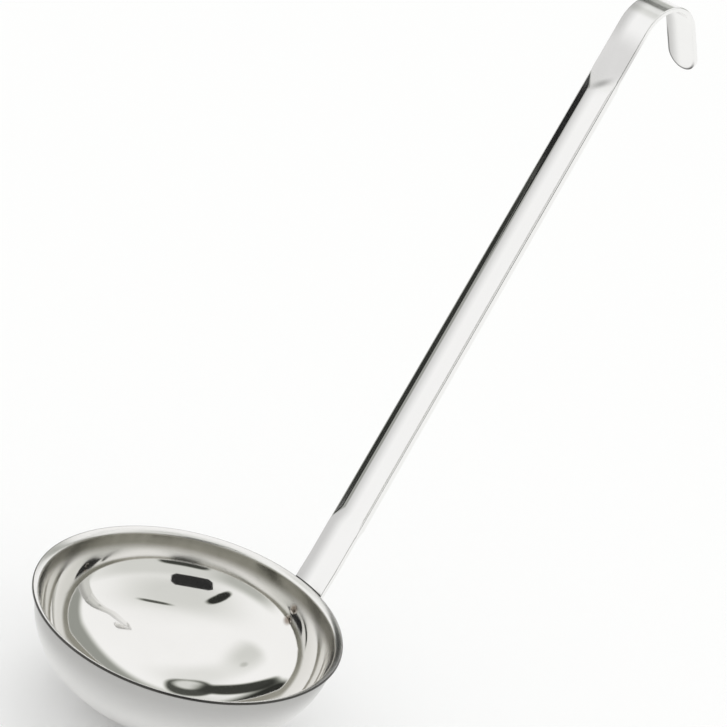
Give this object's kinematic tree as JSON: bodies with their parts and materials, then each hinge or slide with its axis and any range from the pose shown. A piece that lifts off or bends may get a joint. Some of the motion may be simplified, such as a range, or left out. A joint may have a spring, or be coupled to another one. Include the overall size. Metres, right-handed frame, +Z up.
{
  "type": "soup ladle",
  "caption": "Pressed steel soup ladle with a round bowl, a flared lip, a long channelled strip handle and an outward hook at its top.",
  "frame": {"origin": "centre of the hook's bend, on the line of the rail or peg that the ladle hangs from", "axes": "+Z up along the bowl's axis, out of its mouth; the bowl hangs below on the -X side; Y is square to the ladle's plane of symmetry, along the rail"},
  "size_m": [0.244, 0.12, 0.2914],
  "materials": {
    "bowl_steel": "bright polished stainless steel",
    "handle_steel": "bright polished stainless steel",
    "weld_metal": "fused stainless steel inside the joint"
  },
  "bodies": {
    "root": {"bowl": "bowl_steel", "handle": "handle_steel", "upper_spot_weld": "weld_metal", "lower_spot_weld": "weld_metal"}
  },
  "joints": []
}
